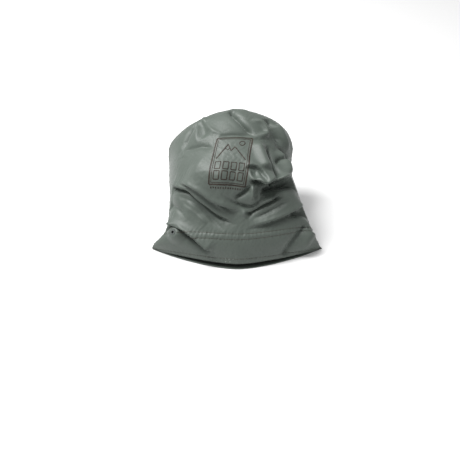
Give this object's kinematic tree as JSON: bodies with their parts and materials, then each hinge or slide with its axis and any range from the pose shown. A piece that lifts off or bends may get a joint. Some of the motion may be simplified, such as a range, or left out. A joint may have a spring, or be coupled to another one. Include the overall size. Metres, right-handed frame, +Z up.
{
  "type": "stuff sack",
  "caption": "Drawstring stuff sack of coated cloth, half full of air on the floor, with a cord tunnel behind its mouth and an eyelet for the cord.",
  "frame": {"origin": "on the floor, under the middle of the whole sack's box", "axes": "+Z up, the mouth faces -Y, the closed end is at +Y, the eyelet's side is -X"},
  "size_m": [0.3297, 0.2547, 0.222],
  "materials": {
    "sack_cloth": "coated nylon, satin",
    "tape_cloth": "woven tape",
    "thread": "twisted thread",
    "print_ink": "flat ink",
    "eyelet_metal": "dull, rolled"
  },
  "bodies": {
    "root": {"front_panel": "sack_cloth", "back_panel": "sack_cloth", "front_mouth_hem": "sack_cloth", "back_mouth_hem": "sack_cloth", "front_casing_tape": "tape_cloth", "back_casing_tape": "tape_cloth", "left_side_seam": "tape_cloth", "right_side_seam": "tape_cloth", "end_seam": "tape_cloth", "casing_stitch_row_1": "thread", "casing_stitch_row_2": "thread", "mouth_hem_stitch_row": "thread", "printed_emblem": "print_ink", "eyelet_barrel": "eyelet_metal", "eyelet_washer": "eyelet_metal"}
  },
  "joints": []
}
